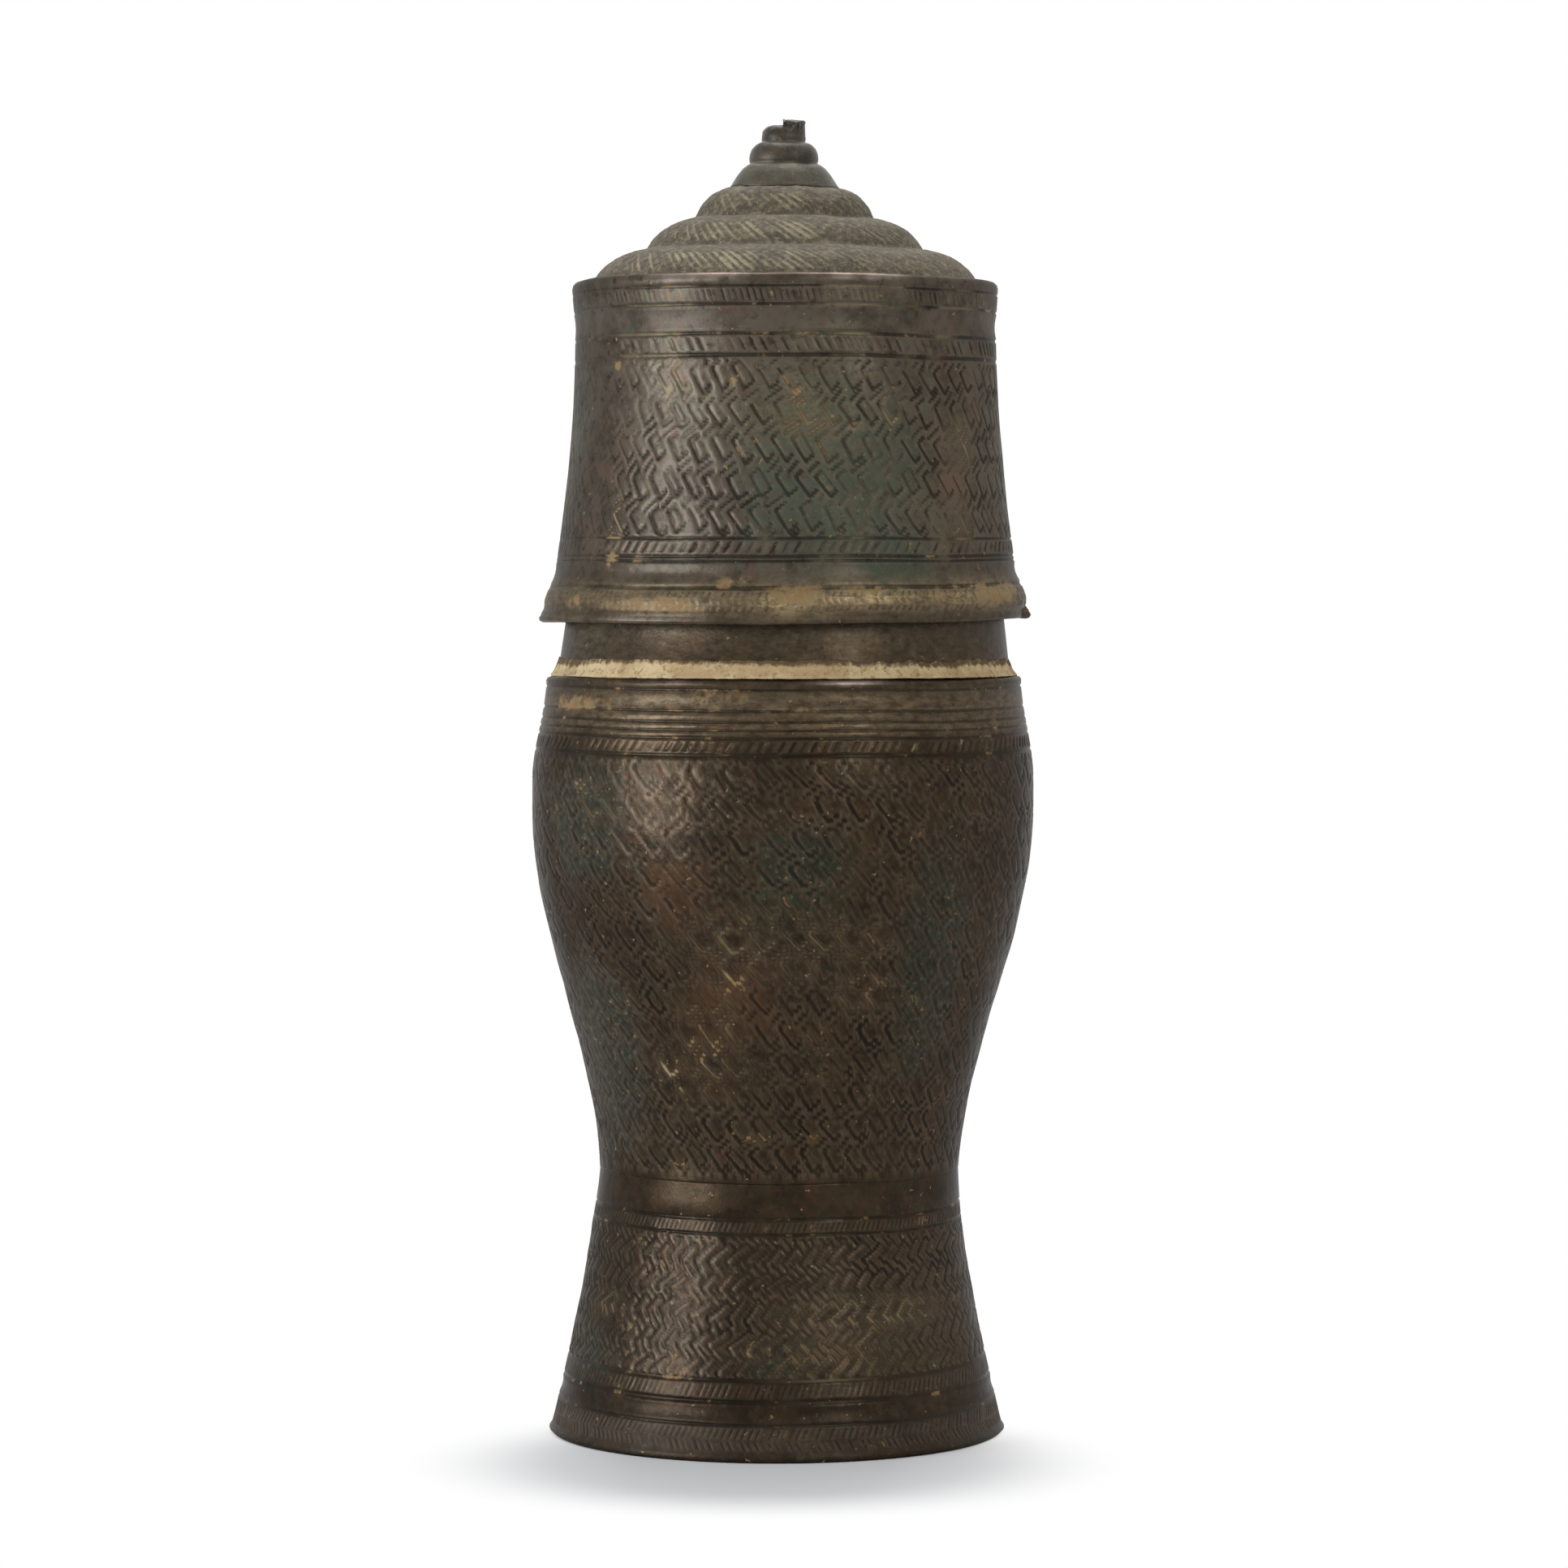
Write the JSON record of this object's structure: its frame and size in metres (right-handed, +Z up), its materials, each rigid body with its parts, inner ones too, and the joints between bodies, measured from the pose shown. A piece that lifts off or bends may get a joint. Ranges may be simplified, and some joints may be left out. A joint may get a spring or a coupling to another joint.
{
  "type": "lime container",
  "caption": "Turned and chased bronze lime container on a flared foot, with a waisted body, a tapered neck and a tall slip-on lid ending in a stepped dome and a finial.",
  "frame": {"origin": "on the ground, at the centre of the foot's ring", "axes": "+Z up along the turning axis from foot to finial, +X to the picture's right, -Y towards the camera"},
  "size_m": [0.0618, 0.0618, 0.1615],
  "materials": {
    "chased_bronze": "dark brown patina, satin, worn bright on the mouldings",
    "dusty_bronze": "brown patina with pale dust in the strokes",
    "plain_bronze": "dark patina, smooth",
    "dried_lime": "tan, chalky, uneven"
  },
  "bodies": {
    "vessel": {"pedestal_foot": "chased_bronze", "floor_plate": "plain_bronze", "container_body": "chased_bronze", "lime_crust": "dried_lime"},
    "lid": {"lid_sleeve": "chased_bronze", "lid_dome": "dusty_bronze", "finial": "plain_bronze"}
  },
  "joints": [
    {"name": "lid_lift", "type": "slide", "parent": "vessel", "child": "lid", "axis": [0, 0, 1], "range_m": [0, 0.06]}
  ]
}
